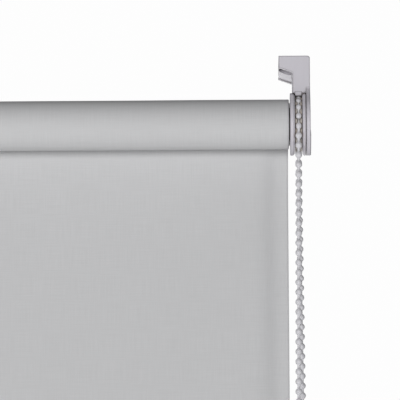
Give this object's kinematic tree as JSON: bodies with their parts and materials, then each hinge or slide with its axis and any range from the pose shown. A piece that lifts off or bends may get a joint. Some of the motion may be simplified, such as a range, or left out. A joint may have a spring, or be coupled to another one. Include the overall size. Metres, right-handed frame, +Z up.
{
  "type": "roller blind",
  "caption": "Chain-operated roller blind: a fabric wound on a tube between two ceiling brackets, with a weighted hem, a bead chain clutch and a sprung idle pin.",
  "frame": {"origin": "on the ceiling face of the chain-side bracket, straight above the roll's axis and in the plane of the bead chain", "axes": "+Z up, +X towards the chain side along the roll, the room at -Y and the wall at +Y"},
  "size_m": [0.6038, 0.044, 1.0882],
  "materials": {
    "bracket_plastic": "satin moulded off-white plastic",
    "clutch_plastic": "satin moulded off-white plastic",
    "wheel_plastic": "natural nylon",
    "plug_plastic": "matt moulded plastic",
    "bead_plastic": "glossy white beads moulded on a cord",
    "connector_plastic": "clear-white clip",
    "spring_steel": "drawn spring wire",
    "screw_steel": "zinc plated",
    "pin_steel": "ground steel pin",
    "tube_aluminium": "mill finish",
    "bar_aluminium": "mill finish",
    "strip_plastic": "extruded strip",
    "blind_fabric": "fine plain weave, coated, pale grey"
  },
  "bodies": {
    "root": {"chain_bracket": "bracket_plastic", "clutch_housing": "clutch_plastic", "guard_cover": "clutch_plastic", "retaining_washer": "screw_steel", "spindle_screw": "screw_steel", "bead_chain_upper": "bead_plastic", "bead_chain_loop": "bead_plastic", "hanging_fabric": "blind_fabric", "idle_bracket": "bracket_plastic", "idle_bush": "wheel_plastic"},
    "roll": {"roller_tube": "tube_aluminium", "fixing_strip": "strip_plastic", "fabric_roll": "blind_fabric", "drive_plug": "plug_plastic", "idle_plug": "plug_plastic", "idle_plug_cap": "plug_plastic", "pin_spring": "spring_steel"},
    "wheel": {"chain_wheel": "wheel_plastic", "wrap_spring_1": "spring_steel", "wrap_spring_2": "spring_steel"},
    "pin": {"idle_pin": "pin_steel"},
    "hem": {"hem_pocket": "blind_fabric", "bottom_bar": "bar_aluminium", "bar_end_cap_right": "bracket_plastic", "bar_end_cap_left": "bracket_plastic"},
    "connector": {"chain_connector": "connector_plastic"}
  },
  "joints": [
    {"name": "tube_spin", "type": "hinge", "parent": "root", "child": "roll", "pos_m": [0, 0, -0.0412], "axis": [1, 0, 0], "range_deg": [0, 3600]},
    {"name": "chain_wheel_spin", "type": "hinge", "parent": "root", "child": "wheel", "pos_m": [0, 0, -0.0412], "axis": [1, 0, 0], "range_deg": [0, 3600]},
    {"name": "bar_lift", "type": "slide", "parent": "root", "child": "hem", "axis": [0, 0, 1], "range_m": [0, 0.9551], "deforming": ["hanging_fabric"]},
    {"name": "connector_slide", "type": "slide", "parent": "root", "child": "connector", "axis": [-0.0077, 0, 1], "range_m": [0, 0.9601]},
    {"name": "idle_pin_slide", "type": "slide", "parent": "roll", "child": "pin", "axis": [1, 0, 0], "range_m": [0, 0.0085], "stiffness_N_per_m": 600, "springref_m": -0.005, "deforming": ["pin_spring"]}
  ],
  "couplings": [
    {"joint": "chain_wheel_spin", "follows": "tube_spin", "ratio": 1},
    {"joint": "bar_lift", "follows": "tube_spin", "m_per_rad": 0.0152},
    {"joint": "connector_slide", "follows": "tube_spin", "m_per_rad": 0.015279}
  ]
}
